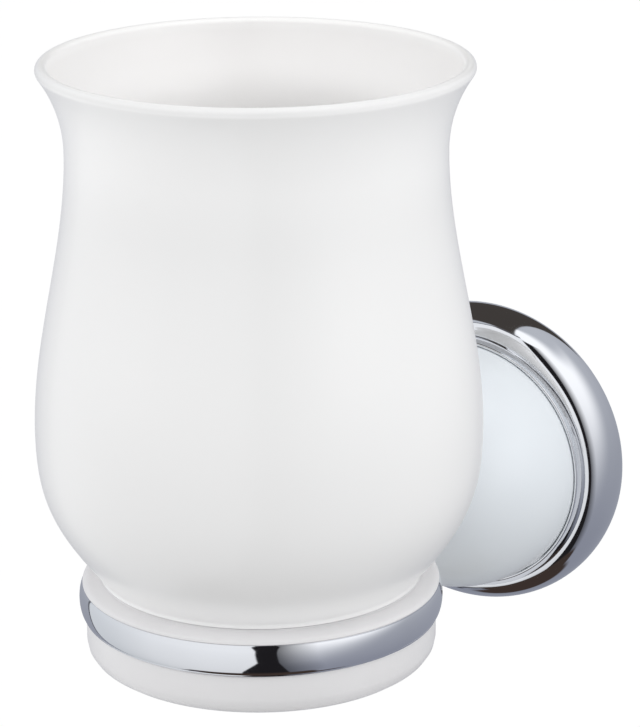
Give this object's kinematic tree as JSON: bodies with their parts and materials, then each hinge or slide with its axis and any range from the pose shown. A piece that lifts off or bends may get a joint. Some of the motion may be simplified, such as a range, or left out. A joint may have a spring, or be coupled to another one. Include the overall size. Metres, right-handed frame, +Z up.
{
  "type": "wall tumbler holder",
  "caption": "Wall-mounted tumbler holder: a flared white ceramic tumbler stands in a chrome ring carried on an arm from a chrome and ceramic rosette.",
  "frame": {"origin": "where the rosette's axis meets the wall, in the middle of the wall plate's back face", "axes": "+Y into the wall, -Y out into the room, +Z up, +X to the right for someone facing the wall"},
  "size_m": [0.0798, 0.1534, 0.1294],
  "materials": {
    "tumbler_glaze": "gloss white glaze",
    "dome_glaze": "gloss white glaze",
    "seat_moulding": "satin white moulding",
    "chrome": "mirror chrome plating",
    "steel": "zinc-plated steel",
    "plate_zinc": "bare die-cast zinc",
    "washer_plastic": "matt white",
    "gasket_rubber": "matt black",
    "plug_plastic": "matt grey"
  },
  "bodies": {
    "holder": {"seat_cup": "seat_moulding", "holder_ring": "chrome", "ring_screw": "steel", "arm_post": "chrome", "arm_collar": "chrome", "tip_washer": "washer_plastic", "dome": "dome_glaze", "dome_gasket": "gasket_rubber", "rosette": "chrome", "stud": "steel", "stud_washer": "steel", "lock_washer": "steel", "stud_nut": "steel", "wall_plate": "plate_zinc", "grub_screw": "steel", "wall_screw_upper": "steel", "wall_screw_lower": "steel", "wall_plug_upper": "plug_plastic", "wall_plug_lower": "plug_plastic"},
    "tumbler": {"tumbler": "tumbler_glaze"}
  },
  "joints": [
    {"name": "tumbler_lift", "type": "slide", "parent": "holder", "child": "tumbler", "axis": [0, 0, 1], "range_m": [0, 0.06]}
  ]
}
